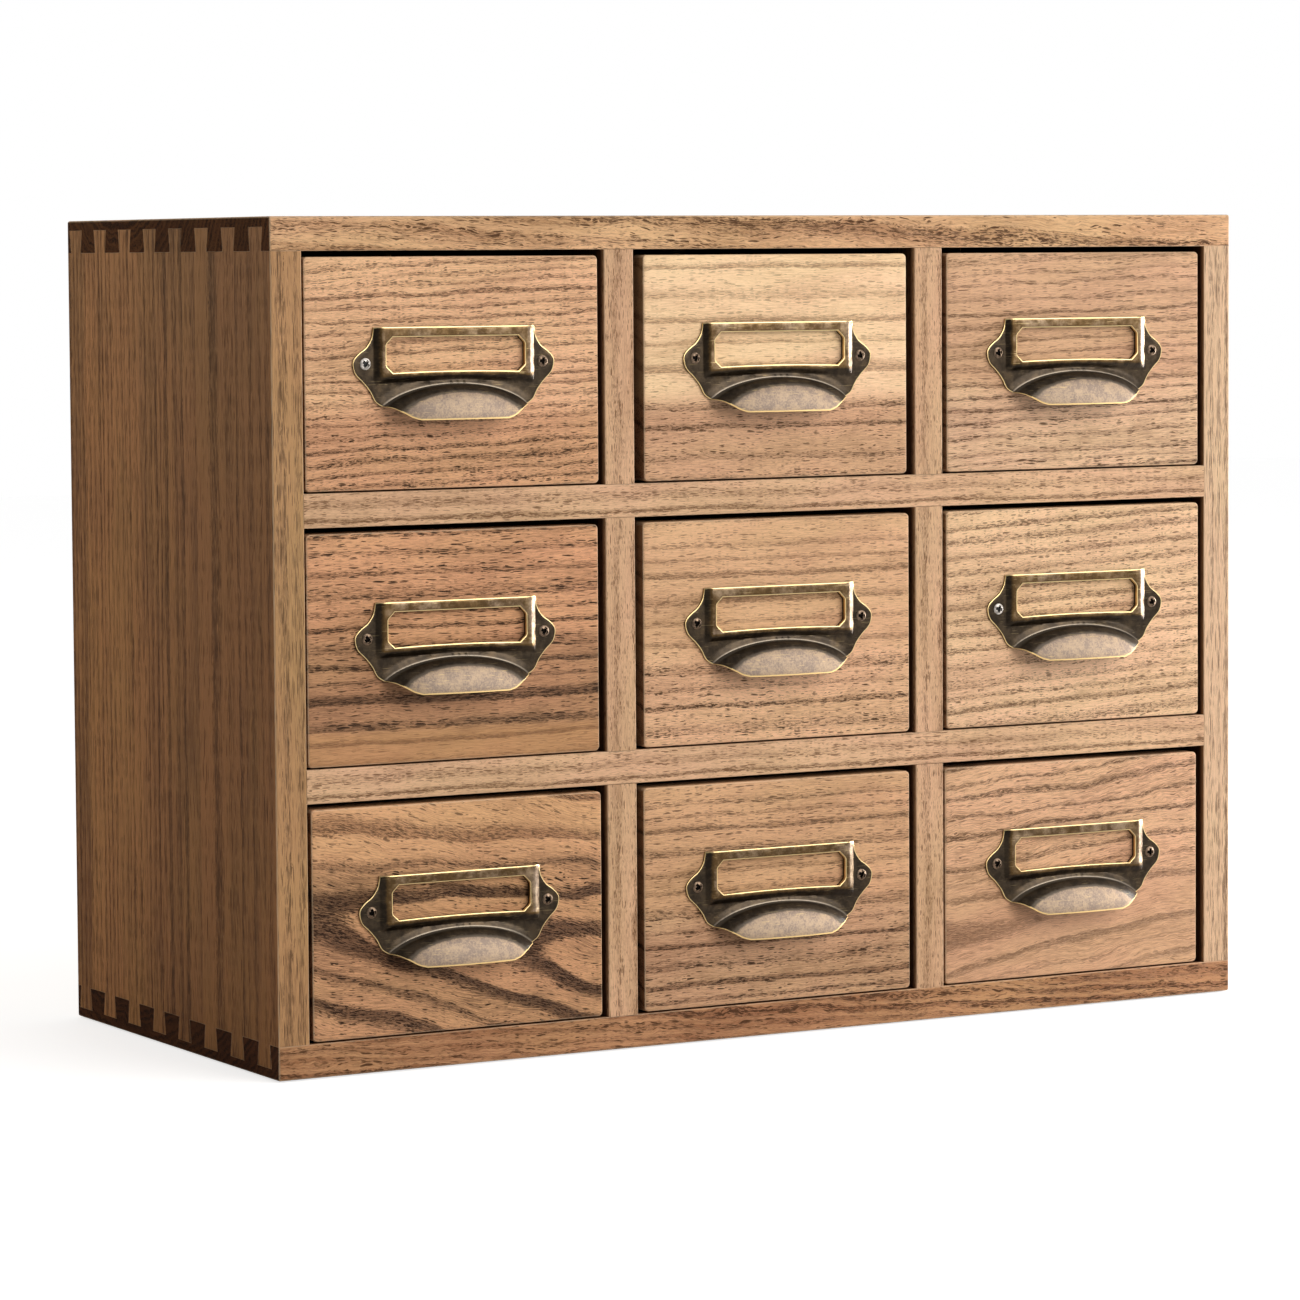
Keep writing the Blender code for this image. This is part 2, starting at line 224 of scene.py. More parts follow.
def bevel(piece, width, segments, method):
    """Rounds the piece's edges, by their angle or by their weight."""
    step = piece.modifiers.new("eased_edges", "BEVEL")
    step.width, step.segments, step.limit_method = width, segments, method
    step.angle_limit = math.radians(40.0)
    smooth(piece.data, 50.0)


def cleaned(mesh):
    """The mesh for editing, with doubled points and flat edges gone."""
    shape = bmesh.new()
    shape.from_mesh(mesh)
    bmesh.ops.remove_doubles(shape, verts=shape.verts, dist=1e-6)
    bmesh.ops.dissolve_limit(shape, angle_limit=math.radians(1.0), verts=shape.verts, edges=shape.edges)
    return shape


def ease_by_weight(piece, weight_of):
    """Rounds each edge by its own width, which weight_of gives from the edge's two ends."""
    shape = cleaned(piece.data)
    layer = shape.edges.layers.float.new("bevel_weight_edge")
    for edge in shape.edges:
        if edge.calc_face_angle(0.0) > math.radians(20.0):
            edge[layer] = weight_of(edge.verts[0].co, edge.verts[1].co) / EDGE
    shape.to_mesh(piece.data)
    shape.free()
    bevel(piece, EDGE, 3, "WEIGHT")


def case_edge(first, second):
    """How far a case board's edge is rounded: most where two of the case's outside planes meet."""
    planes = ((0, LEFT), (0, RIGHT), (1, FRONT), (1, REAR), (2, BOTTOM), (2, TOP))
    close = sum(abs(first[axis] - level) < TOUCH and abs(second[axis] - level) < TOUCH
                for axis, level in planes)
    if close >= 2:
        return EDGE
    if close == 0:
        return 0.0
    return LONG_EDGE if (first - second).length > LONG else JOINT_EDGE


def inner_edge(first, second):
    """Rounding of a shelf's or a divider's edge: along its front only."""
    at_front = abs(first.y - FRONT) < TOUCH and abs(second.y - FRONT) < TOUCH
    return LONG_EDGE if at_front and (first - second).length > 2.0 * BOARD else 0.0


# ---- materials

def srgb(red, green, blue):
    """A linear colour from display values of 0 to 255."""
    def linear(value):
        value /= 255.0
        return value / 12.92 if value <= 0.04045 else ((value + 0.055) / 1.055) ** 2.4
    return (linear(red), linear(green), linear(blue), 1.0)


class Nodes:
    """Shader nodes in one tree: each method adds a node and gives back what comes out of it."""

    def __init__(self, tree):
        self.nodes = tree.nodes
        self.links = tree.links

    def feed(self, socket, value):
        if isinstance(value, bpy.types.NodeSocket):
            self.links.new(value, socket)
        else:
            socket.default_value = value

    def node(self, kind, inputs=None, **settings):
        made = self.nodes.new(kind)
        for name, value in settings.items():
            setattr(made, name, value)
        for key, value in (inputs or {}).items():
            self.feed(made.inputs[key], value)
        return made

    def math(self, operation, *values, clamp=False):
        made = self.node("ShaderNodeMath", dict(enumerate(values)), operation=operation, use_clamp=clamp)
        return made.outputs[0]

    def plus(self, first, second):
        return self.math("ADD", first, second)

    def minus(self, first, second):
        return self.math("SUBTRACT", first, second)

    def times(self, first, second):
        return self.math("MULTIPLY", first, second)

    def over(self, first, second):
        return self.math("DIVIDE", first, second)

    def swing(self, value, reach):
        """A value of 0 to 1, centred on 0 and given a reach."""
        return self.times(self.minus(value, 0.5), reach)

    def vector(self, operation, *values):
        made = self.node("ShaderNodeVectorMath", dict(enumerate(values)), operation=operation)
        return made.outputs["Value" if operation == "DOT_PRODUCT" else "Vector"]

    def combine(self, x, y, z):
        return self.node("ShaderNodeCombineXYZ", {0: x, 1: y, 2: z}).outputs[0]

    def split(self, vector):
        return self.node("ShaderNodeSeparateXYZ", {0: vector}).outputs

    def step(self, value, low, high, start=0.0, end=1.0):
        """A smooth step from start to end as value goes from low to high."""
        made = self.node("ShaderNodeMapRange", {0: value, 1: low, 2: high, 3: start, 4: end},
                         interpolation_type="SMOOTHSTEP")
        return made.outputs[0]

    def noise(self, vector, scale=1.0, detail=2.0, roughness=0.5):
        made = self.node("ShaderNodeTexNoise", {"Vector": vector, "Scale": scale, "Detail": detail,
                                                "Roughness": roughness})
        return made.outputs["Fac"]

    def chance(self, value):
        """A random number for each whole value."""
        return self.node("ShaderNodeTexWhiteNoise", {"W": value}, noise_dimensions="1D").outputs["Value"]

    def mix(self, share, first, second, blend="MIX"):
        made = self.node("ShaderNodeMix", {0: share, 6: first, 7: second}, data_type="RGBA",
                         blend_type=blend)
        return made.outputs[2]

    def tint(self, share, colour, by):
        """The colour, multiplied by another where share is 1."""
        return self.mix(share, colour, self.mix(1.0, colour, by, "MULTIPLY"))

    def attribute(self, name):
        return self.node("ShaderNodeAttribute", attribute_name=name).outputs["Fac"]

    def place(self, kind="Object"):
        return self.node("ShaderNodeTexCoord").outputs[kind]

    def camera_ray(self):
        return self.node("ShaderNodeLightPath").outputs["Is Camera Ray"]


class Shader(Nodes):
    """One material's nodes."""

    def __init__(self, name):
        self.material = bpy.data.materials.new(name)
        self.material.use_nodes = True
        super().__init__(self.material.node_tree)
        self.surface = self.nodes["Principled BSDF"]

    def set(self, **values):
        """Feeds the surface: an underscore in a name stands for a space."""
        for name, value in values.items():
            self.feed(self.surface.inputs[name.replace("_", " ")], value)

    def bump(self, height, distance, strength):
        made = self.node("ShaderNodeBump", {"Height": height, "Distance": distance, "Strength": strength})
        self.set(Normal=made.outputs[0])


# Which axes run along the grain, across it on the face, and into the board
GRAIN_AXES = {"X": (0, 2, 1), "Y": (1, 2, 0), "Z": (2, 1, 0)}
# A plain board. Tones are display values; end and the front tint multiply them on faces that look that way,
# the front tint lifting to the lit tone the front edges of boards whose own tones carry painted shade.
# A zone is where it starts, its blur, its light and dark tones and how bold its pores are.
WOOD = dict(
    light=(222, 178, 140), dark=(196, 150, 112), pore=(96, 60, 36), end=(0.45, 0.4, 0.34), lit_front_tint=None,
    zones=(), spacing=4.0, band=0.4, uneven=1.8, pith=(-90.0, 40.0), tilt=0.0, taper=0.0,
    waver=1.2, waver_size=(60.0, 14.0), wave=0.9, wave_size=(22.0, 7.0), ripple=0.45,
    ripple_size=(5.0, 2.0), dash=(4.0, 0.42), crowd=0.9, sparse=0.2, streak=0.8, bold=0.85, fibre=0.3,
    blotch=0.1, ring_tone=0.75, staves=None, rough=0.44, edge_wear_and_highlight=0.55, inside=False,
)
# How far apart in the log a board's staves were cut, along and across, and how much their tones differ
STAVE_SHIFT, STAVE_DEPTH, STAVE_TONE = 900.0, 37.0, 0.8
# How squarely a face looks along an axis when a tint for that direction begins and is full
FACING = (0.6, 0.9)
# What the insides of the bays are dimmed to, a painted shade, and the tone of rubbed edges, which is wear
# and in part a painted highlight on the arrises
BAY_PAINTED_SHADE = (0.16, 0.13, 0.11, 1.0)
EDGE_WEAR_AND_HIGHLIGHT_TONE = (244, 214, 178)
# The two tints that the wood drifts between, yellow and pink
COOL_WOOD = (1.0, 1.0, 0.92, 1.0)
WARM_WOOD = (1.03, 0.975, 0.95, 1.0)
GOLD = (250, 220, 158)


def bay_shade_mask(s):
    """1 on the faces inside the bays, just behind the case's front edges, and 0 outside: where painted
    shade dims the wood.
    """
    slack = 0.0002
    x, y, z = s.split(s.place())
    beside = s.math("LESS_THAN", s.math("ABSOLUTE", x), RIGHT_INSIDE + slack)
    above = s.math("GREATER_THAN", z, BOTTOM + BOARD - slack)
    below = s.math("LESS_THAN", z, TOP - BOARD + slack)
    behind = s.step(y, FRONT + 0.0006, FRONT + 0.003)
    before = s.math("LESS_THAN", y, PANEL_LOW.y + slack)
    return s.times(s.times(beside, s.times(above, below)), s.times(behind, before))


def wood(name, grain, centre, **changes):
    """Stained ring-porous wood. Lengths are in millimetres. The growth rings are cones round a pith line
    beside the board, the open pores are short dashes along the grain that crowd the start of each ring,
    and each zone gives another tone and pore strength below a height on the face."""
    look = {**WOOD, **changes}
    s = Shader(name)
    place = s.vector("SCALE", s.vector("SUBTRACT", s.place(), centre))
    place.node.inputs["Scale"].default_value = 1.0 / MM
    axes = s.split(place)
    along, up, deep = (axes[index] for index in GRAIN_AXES[grain])
    height = up
    tone = 0.0
    if look["staves"]:
        width, start = look["staves"]
        chance = s.chance(s.math("FLOOR", s.over(s.minus(up, start), width)))
        along = s.plus(along, s.times(chance, STAVE_SHIFT))
        deep = s.plus(deep, s.times(chance, STAVE_DEPTH))
        tone = s.swing(chance, STAVE_TONE)
    up = s.minus(up, s.times(along, look["tilt"]))

    def patch(length, width, level):
        """A place counted in lengths along the grain and widths across it; a level sets the pattern."""
        return s.combine(s.over(along, length), s.over(up, width),
                         s.math("MULTIPLY_ADD", deep, 1.0 / width, level))

    def cloud(length, width, level=0.0, detail=1.0, roughness=0.5):
        return s.noise(patch(length, width, level), detail=detail, roughness=roughness)

    for key, level in (("waver", 0.0), ("wave", 4.0), ("ripple", 9.0)):
        up = s.plus(up, s.swing(cloud(*look[key + "_size"], level), 2.0 * look[key]))
    across = s.minus(up, look["pith"][0])
    inward = s.minus(deep, look["pith"][1])
    radius = s.math("SQRT", s.math("MULTIPLY_ADD", across, across, s.times(inward, inward)))
    radius = s.math("MULTIPLY_ADD", along, look["taper"], radius)
    uneven = s.noise(s.combine(s.over(radius, look["spacing"] * 2.3), 0.0, 0.0), detail=1.0)
    rings = s.math("MULTIPLY_ADD", uneven, look["uneven"], s.over(radius, look["spacing"]))
    ragged = cloud(1.6, 0.7, 30.0, 2.0, 0.7)
    rings = s.math("MULTIPLY_ADD", ragged, 0.8 / look["spacing"], rings)
    part = s.math("FRACT", rings)
    band = look["band"]
    early = s.times(s.step(part, 0.0, band * 0.25), s.step(part, band * 0.5, band * 1.5, 1.0, 0.0))
    early = s.times(early, s.step(s.chance(s.math("FLOOR", rings)), 0.0, 1.0, 0.4, 1.0))

    def dashes(length, width, share, level):
        """Short strokes in that share of the cells, longer and wider in some than in others."""
        cells = s.node("ShaderNodeTexVoronoi", {"Vector": patch(length, width, level), "Scale": 1.0,
                                                "Randomness": 1.0})
        chance, size, _ = s.split(cells.outputs["Color"])
        shown = s.step(s.minus(share, chance), -0.04, 0.04)
        reach = s.math("MULTIPLY_ADD", size, -0.34, cells.outputs["Distance"])
        return s.times(s.step(reach, 0.13, 0.26, 1.0, 0.0), shown)

    length, width = look["dash"]
    clump = cloud(length * 5.0, width * 6.0, 60.0)
    share = s.math("MULTIPLY_ADD", early, look["crowd"] - look["sparse"], look["sparse"])
    share = s.times(share, s.step(clump, 0.3, 0.62, 0.3, 1.15))
    coarse = dashes(length, width, share, 0.0)
    fine = dashes(length * 0.45, width * 0.6, s.times(share, 0.8), 40.0)
    streak = s.step(cloud(length * 0.8, width * 0.8, 80.0, 4.0, 0.7), 0.5, 0.58)
    streak = s.times(streak, s.math("MULTIPLY_ADD", early, look["streak"], 0.28))
    pores = s.math("MAXIMUM", coarse, s.math("MAXIMUM", s.times(fine, 0.95), streak))

    fibre = cloud(9.0, 0.3, 90.0, 3.0, 0.65)
    blotch = cloud(55.0, 14.0, 120.0, 2.0)
    shade = s.math("MULTIPLY_ADD", early, look["ring_tone"], s.plus(tone, 0.25))
    shade = s.plus(shade, s.swing(fibre, look["fibre"] * 10.0))
    shade = s.math("ADD", shade, s.swing(blotch, look["blotch"] * 16.0), clamp=True)
    light, dark, bold = srgb(*look["light"]), srgb(*look["dark"]), look["bold"]
    edge = s.plus(height, s.swing(blotch, 6.0))
    for start, blur, zone_light, zone_dark, zone_bold in look["zones"]:
        low = s.step(edge, start - blur, start + blur, 1.0, 0.0)
        light = s.mix(low, light, srgb(*zone_light))
        dark = s.mix(low, dark, srgb(*zone_dark))
        bold = s.step(low, 0.0, 1.0, bold, zone_bold)
    colour = s.mix(shade, light, dark)
    warmth = s.step(cloud(80.0, 26.0, 150.0, 2.0), 0.36, 0.64)
    colour = s.mix(warmth, s.mix(1.0, colour, COOL_WOOD, "MULTIPLY"),
                   s.mix(1.0, colour, WARM_WOOD, "MULTIPLY"))
    strength = s.times(pores, bold)
    colour = s.mix(strength, colour, srgb(*look["pore"]))
    turned = [s.math("ABSOLUTE", axis) for axis in s.split(s.place("Normal"))]
    cut_end = s.step(turned[GRAIN_AXES[grain][0]], *FACING)
    colour = s.tint(cut_end, colour, (*look["end"], 1.0))
    # On boards whose tones carry painted shade, faces that look to the front are lifted to the lit tone.
    if look["lit_front_tint"]:
        colour = s.tint(s.step(turned[1], *FACING), colour, (*look["lit_front_tint"], 1.0))
    # Painted shade: the faces inside the bays are dimmed, standing for the shade in the gaps.
    if look["inside"]:
        colour = s.tint(bay_shade_mask(s), colour, BAY_PAINTED_SHADE)
    # Rounded edges are lightened: wear, and in part a painted highlight on the arrises.
    straight = s.math("MAXIMUM", turned[0], s.math("MAXIMUM", turned[1], turned[2]))
    worn = s.times(s.step(straight, 0.84, 0.985, 1.0, 0.0), s.step(fibre, 0.3, 0.7, 0.25, 1.0))
    colour = s.mix(s.times(worn, look["edge_wear_and_highlight"]), colour, srgb(*EDGE_WEAR_AND_HIGHLIGHT_TONE))
    rough = s.plus(s.times(strength, 0.25), s.times(fibre, 0.16))
    rough = s.plus(s.math("MULTIPLY_ADD", cut_end, 0.4, rough), look["rough"])
    s.set(Base_Color=colour, Roughness=rough, Specular_IOR_Level=0.22)
    s.bump(s.plus(s.times(pores, -1.0), s.times(fibre, 0.35)), 0.00008, 0.9)
    return s.material


def brass():
    """Aged brass: brown-black patina in the hollows, bronze faces, rubbed gold rims and a painted highlight
    along the cup's foot.
    """
    s = Shader("antique_brass")
    place = s.place()
    rim, recess, foot = (s.attribute(name) for name in ("rim", "recess", "foot"))
    mottle = s.noise(place, 260.0, 5.0, 0.62)
    cloud = s.noise(s.vector("ADD", place, (3.0, 1.0, 2.0)), 90.0, 3.0, 0.5)
    speck = s.noise(s.vector("ADD", place, (7.0, 5.0, 1.0)), 1500.0, 3.0, 0.6)

    def scratches(turn, width, spacing):
        mapped = s.node("ShaderNodeMapping", {"Vector": place, "Rotation": (0.0, turn, 0.0),
                                              "Scale": (width, width, spacing)}).outputs[0]
        return s.noise(mapped, 1.0, 2.0, 0.5)

    scratch = s.math("MAXIMUM", s.step(scratches(0.9, 160.0, 3800.0), 0.66, 0.74),
                     s.step(scratches(-0.5, 120.0, 3000.0), 0.68, 0.76))
    patina = s.plus(recess, s.swing(mottle, 0.4))
    patina = s.math("ADD", patina, s.swing(cloud, 0.3), clamp=True)
    in_cup = s.math("LESS_THAN", foot, 1.0)
    grey = s.step(s.plus(mottle, s.swing(speck, 0.8)), 0.3, 0.7)
    spots = s.step(mottle, 0.35, 0.65)
    cup = s.mix(grey, srgb(188, 165, 139), srgb(154, 136, 122))
    bronze = s.mix(spots, srgb(112, 86, 51), srgb(84, 63, 37))
    black = s.mix(spots, srgb(70, 58, 44), srgb(48, 39, 29))
    between = s.mix(in_cup, bronze, srgb(106, 95, 83))
    colour = s.mix(s.step(patina, 0.1, 0.42), cup, between)
    colour = s.mix(s.step(patina, 0.45, 0.85), colour, black)
    worn = s.times(scratch, s.step(patina, 0.2, 0.9, 0.5, 0.12))
    colour = s.mix(worn, colour, srgb(*GOLD))
    # Painted highlight: a pale line along the cup's foot.
    painted_crease_highlight = s.step(s.math("ABSOLUTE", s.minus(foot, 1.0)), 0.0, 0.04, 1.0, 0.0)
    colour = s.mix(s.times(painted_crease_highlight, 0.4), colour, srgb(186, 172, 154))
    rubbed = s.step(s.plus(rim, s.swing(mottle, 0.5)), 0.25, 0.75)
    colour = s.mix(rubbed, colour, srgb(*GOLD))
    rough = s.plus(s.step(in_cup, 0.0, 1.0, 0.24, 0.6), s.times(speck, 0.12))
    s.set(Base_Color=colour, Metallic=1.0, Coat_Weight=0.2, Coat_Roughness=0.22, Roughness=rough)
    s.bump(s.plus(speck, s.plus(mottle, s.times(scratch, -0.6))), 0.00004, 0.5)
    return s.material


def screw_metal(name, shade, rough, metallic=1.0):
    """A plated screw head, mottled, and nearly black in the cross recess as painted shade."""
    s = Shader(name)
    mottle = s.noise(s.place(), 900.0, 4.0, 0.6)
    colour = s.mix(s.step(mottle, 0.35, 0.65), srgb(*shade), srgb(*(value * 0.72 for value in shade)))
    # Painted shade: the cross recess is nearly black.
    colour = s.mix(s.step(s.attribute("recess"), 0.15, 0.6), colour, srgb(16, 13, 11))
    s.set(Base_Color=colour, Metallic=metallic, Roughness=s.plus(rough, s.times(mottle, 0.2)))
    s.bump(mottle, 0.00004, 0.6)
    return s.material


# ---- the case

def tail_outline(shoulder, end, slack):
    """The four (y, z) corners of each tail between its shoulder line and its end, less slack all round,
    from the rear to the front."""
    reach = abs(end - shoulder)
    toward = 1.0 if end > shoulder else -1.0
    lean = TAIL_LEAN * reach / 2.0
    tip = end - toward * slack
    for index in range(TAILS):
        rear = REAR - BACK_PIN_WIDTH - index * (TAIL_WIDTH + PIN_WIDTH)
        front = rear - TAIL_WIDTH
        yield [(rear - lean - slack, shoulder), (rear + lean - slack, tip), (front - lean + slack, tip),
               (front + lean + slack, shoulder)]


def groove(axis, inner):
    """What the back panel's groove takes out of a board whose inner face is at that level on the axis."""
    spans = [(PANEL_LOW[other] - PANEL_GAP, PANEL_HIGH[other] + PANEL_GAP) for other in range(3)
             if other != axis]
    depth = PANEL_GAP + (LEFT_INSIDE - PANEL_LOW.x)
    return prism("groove", box_outline(*spans[0], *spans[1]), axis, inner - depth, inner + depth)


def side_board(name, low_x, high_x, material):
    """A side, with tails at both ends and a groove for the back panel."""
    shoulder_top, shoulder_bottom = TOP - BOARD, BOTTOM + BOARD
    upper = [corner for tail in tail_outline(shoulder_top, TOP - LAP, JOINT_GAP) for corner in tail]
    lower = [corner for tail in tail_outline(shoulder_bottom, BOTTOM + LAP, JOINT_GAP) for corner in tail]
    outline = [(REAR, shoulder_top), *upper, (FRONT, shoulder_top),
               (FRONT, shoulder_bottom), *reversed(lower), (REAR, shoulder_bottom)]
    board = prism(name, outline, 0, low_x, high_x)
    inner = high_x if low_x == LEFT else low_x
    piece = new_piece(name + "_board", cut(board, groove(0, inner)), material, "case", "case_wood", name)
    ease_by_weight(piece, case_edge)


def level_board(name, low_z, high_z, material):
    """The top or the bottom, with sockets for the tails and a groove for the back panel."""
    upper = high_z == TOP
    shoulder, end, inner = (low_z, high_z - LAP, low_z) if upper else (high_z, low_z + LAP, high_z)
    past = CUT_PAST if upper else -CUT_PAST
    board = prism(name, box_outline(LEFT, RIGHT, FRONT, REAR), 2, low_z, high_z)
    cutters = []
    for low_x, high_x in ((LEFT - CUT_PAST, LEFT_INSIDE), (RIGHT_INSIDE, RIGHT + CUT_PAST)):
        points, faces = [], []
        for tail in tail_outline(shoulder, end, 0.0):
            corners = list(tail)
            corners[0] = (corners[0][0], shoulder - past)
            corners[3] = (corners[3][0], shoulder - past)
            first = len(points)
            points += [Vector((low_x, *corner)) for corner in corners]
            points += [Vector((high_x, *corner)) for corner in corners]
            faces += [[first + i for i in side] for side in
                      ((0, 1, 2, 3), (4, 5, 6, 7), (0, 1, 5, 4), (1, 2, 6, 5), (2, 3, 7, 6), (3, 0, 4, 7))]
        cutters.append(mesh_from("sockets", points, faces))
    cutters.append(groove(2, inner))
    piece = new_piece(name + "_eased", cut(board, *cutters), material, "case", "case_wood", name)
    ease_by_weight(piece, case_edge)


def grid_board(name, axis, level, low, high, bays, bay, material):
    """A shelf (axis 2) or a divider (axis 0) that runs from low to high past so many bays, and is notched
    to its half depth where it crosses the others: a shelf from behind, a divider from the front."""
    middle = (FRONT + PANEL_LOW.y) / 2.0
    rear = PANEL_LOW.y - PANEL_GAP
    plain, notched = (FRONT, rear) if axis == 2 else (rear, FRONT)
    outline = [(low + JOINT_GAP, plain), (high - JOINT_GAP, plain), (high - JOINT_GAP, notched)]
    for index in range(bays - 1, 0, -1):
        start = low + index * bay + (index - 1) * BOARD
        before, after = start - JOINT_GAP, start + BOARD + JOINT_GAP
        outline += [(after, notched), (after, middle), (before, middle), (before, notched)]
    outline.append((low + JOINT_GAP, notched))
    if axis == 0:
        outline = [(depth, run) for run, depth in outline]
    mesh = prism(name, outline, axis, level, level + BOARD)
    piece = new_piece(name, mesh, material, "case", "case_wood", "partition_grid")
    ease_by_weight(piece, inner_edge)


def eased_copy(node, material, body, slot):
    """The CAD node's own shape with rounded edges."""
    shape = cleaned(frame["nodes"][node].data)
    mesh = bpy.data.meshes.new(node + "_eased")
    shape.to_mesh(mesh)
    shape.free()
    low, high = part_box(node)
    thin = min(high[axis] - low[axis] for axis in range(3))
    piece = new_piece(node + "_eased", mesh, material, body, slot, node)
    bevel(piece, min(BOX_EDGE, thin * 0.2), 2, "ANGLE")


# ---- the drawers

def rounded_rectangle(low, high, inset, corner, steps=6):
    """(x, z) points of a rectangle with round corners, set in by inset on every side."""
    radius = max(corner - inset, 0.0002)
    points = []
    for quarter, (x, z) in enumerate(((high.x, high.z), (low.x, high.z), (low.x, low.z), (high.x, low.z))):
        centre_x = x - math.copysign(inset + radius, x - (low.x + high.x) / 2.0)
        centre_z = z - math.copysign(inset + radius, z - (low.z + high.z) / 2.0)
        for step in range(steps + 1):
            angle = math.pi / 2.0 * (quarter + step / steps)
            points.append((centre_x + radius * math.cos(angle), centre_z + radius * math.sin(angle)))
    return points


def drawer_front(number, material):
    """A drawer's front: round corners, a rounded arris round its face and a small chamfer behind."""
    low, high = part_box(f"drawer_{number}_front")
    name = f"drawer_{number}_front_board"
    levels = [(BACK_CHAMFER, high.y), (0.0, high.y - BACK_CHAMFER)]
    steps = 5
    for step in range(steps + 1):
        angle = math.pi / 2.0 * step / steps
        levels.append((FRONT_ARRIS * (1.0 - math.cos(angle)),
                       low.y + FRONT_ARRIS * (1.0 - math.sin(angle))))
    levels.append((FRONT_ARRIS * 2.5, low.y))
    rings = [[Vector((x, depth, z)) for x, z in rounded_rectangle(low, high, inset, FRONT_CORNER)]
             for inset, depth in levels]
    mesh = loft(name, rings)
    smooth(mesh, 40.0)
    new_piece(name, mesh, material, f"drawer_{number}", "front_wood", f"drawer_{number}_front")


def curve_through(points, steps):
    """A smooth curve through points, with so many steps between each two."""
    ends = [points[0], *points, points[-1]]
    made = []
    for a, b, c, d in zip(ends, ends[1:], ends[2:], ends[3:]):
        for step in range(steps):
            t = step / steps
            made.append(tuple(
                0.5 * (2 * q + (r - p) * t + (2 * p - 5 * q + 4 * r - s) * t ** 2
                       + (3 * q - p - 3 * r + s) * t ** 3)
                for p, q, r, s in zip(a, b, c, d)))
    made.append(points[-1])
    return made


def mirrored(half):
    """The left half of an outline, in the same turn as its right half."""
    return [(-u, v) for u, v in reversed(half)]


def plate_outline():
    side = curve_through(PLATE_SIDE, 5)
    lip = curve_through(LIP_SIDE, 4)
    across = [(LIP_SIDE[-1][0] * (1.0 - step / 16.0), LIP_SIDE[-1][1]) for step in range(1, 17)]
    top = [(PLATE_SIDE[0][0] * step / 24.0, PLATE_SIDE[0][1]) for step in range(24)]
    half = top[1:] + side + lip[1:] + across[:-1]
    return [(0.0, 0.0)] + half + [(0.0, LIP_SIDE[-1][1])] + mirrored(half)


def bow(u):
    """How far the frame's lower bar rises towards its middle."""
    return FRAME_BOW * (1.0 - (u / FRAME_FACE[0]) ** 2)


def window_outline(grow=0.0):
    half, top, bottom = WINDOW_HALF + grow, WINDOW_TOP - grow, WINDOW_BOTTOM + grow
    chamfer = WINDOW_CHAMFER + grow * 0.6
    flat = half - chamfer
    upper = [(flat * step / 16.0, top) for step in range(-16, 17)]
    right = [(half - chamfer * 0.12, top + chamfer * 0.88), (half, top + chamfer * 1.15),
             (half, bottom - chamfer * 1.15), (half - chamfer * 0.12, bottom - chamfer * 0.88)]
    lower = [(flat * step / 16.0, bottom - bow(flat * step / 16.0)) for step in range(16, -17, -1)]
    return upper + right + lower + mirrored(right)


def circle(centre_u, centre_v, radius, steps=20):
    return [(centre_u + radius * math.cos(2 * math.pi * step / steps),
             centre_v + radius * math.sin(2 * math.pi * step / steps)) for step in range(steps)]


def soft_step(value):
    value = np.clip(value, 0.0, 1.0)
    return value * value * (3.0 - 2.0 * value)


def frame_share(u, v):
    """From 0 on the plate to 1 on the label frame's face: a plane wall that rounds into the face."""
    beside = np.clip(1.0 - (FRAME_BASE[0] - np.abs(u)) / FRAME_ROUND[0], 0.0, 1.0)
    below = np.clip(1.0 - (FRAME_BASE[1] - bow(u) - v) / FRAME_ROUND[1], 0.0, 1.0)
    reach = np.minimum((beside ** 5 + below ** 5) ** 0.2, 1.0)
    return np.where(reach < 0.5, 1.0 - reach ** 2 / 0.75, (1.0 - reach) * 4.0 / 3.0)


def cup_square(u, v):
    """The square of the distance from the cup's middle, which is 1 along its foot."""
    return (u / CUP_HALF) ** 2 + ((CUP_LOW - v) / CUP_TALL) ** 2


def pull_height(u, v):
    """The pull's outer surface above the wood: plate, shoulder above the cup, label frame and cup."""
    square, raised = cup_square(u, v), frame_share(u, v)
    foot = np.sqrt(square)
    shoulder = soft_step((1.0 + SHOULDER_REACH - foot) / SHOULDER_REACH)
    shoulder = shoulder * np.clip(1.0 - (u / CUP_HALF) ** 2, 0.0, 1.0)
    low = SHEET + SHEET_GAP + SHOULDER_RISE * shoulder * (1.0 - raised)
    cup = np.sqrt(np.clip(1.0 - square, 0.0, 1.0))
    return np.where(foot < 1.0, low + (CUP_RISE - low) * cup, low + FRAME_RISE * raised)


def nearest(points, loop):
    """Each point's distance from a closed loop."""
    start = np.array(loop)
    run = np.roll(start, -1, axis=0) - start
    best = np.full(len(points), 1e9)
    for a, d in zip(start, run):
        share = np.clip(((points - a) @ d) / max(d @ d, 1e-12), 0.0, 1.0)
        best = np.minimum(best, np.linalg.norm(points - a - share[:, None] * d, axis=1))
    return best


def inside(points, loop):
    """Which points lie in a closed loop."""
    x, y = points[:, 0], points[:, 1]
    found = np.zeros(len(points), bool)
    for (x0, y0), (x1, y1) in zip(loop, loop[1:] + loop[:1]):
        crosses = (y0 > y) != (y1 > y)
        with np.errstate(divide="ignore", invalid="ignore"):
            found ^= crosses & (x < (x1 - x0) * (y - y0) / (y1 - y0) + x0)
    return found


